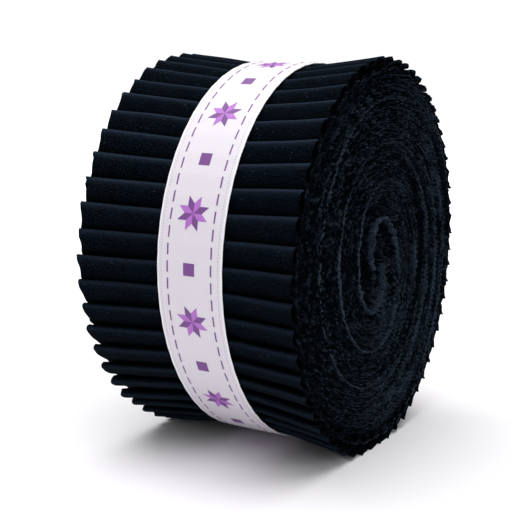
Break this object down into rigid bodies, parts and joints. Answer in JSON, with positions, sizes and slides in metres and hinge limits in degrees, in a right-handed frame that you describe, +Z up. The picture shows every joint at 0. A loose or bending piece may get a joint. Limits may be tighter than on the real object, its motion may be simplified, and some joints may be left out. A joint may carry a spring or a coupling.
{
  "type": "jelly roll of fabric strips",
  "caption": "Thick roll of folded black quilting-cotton strips, their folds shingled round the outside and their pinked edges on both ends, tied with a white satin ribbon.",
  "frame": {"origin": "middle of the roll's length, on the surface that it rests on", "axes": "+X along the roll's axis towards the end that the viewer sees, +Z up"},
  "size_m": [0.0661, 0.1109, 0.1097],
  "materials": {
    "black_cotton": "matte woven cotton with pinked edges",
    "white_satin": "woven satin ribbon with a soft sheen"
  },
  "bodies": {
    "root": {"strip_roll": "black_cotton", "wrap_band": "white_satin"}
  },
  "joints": []
}
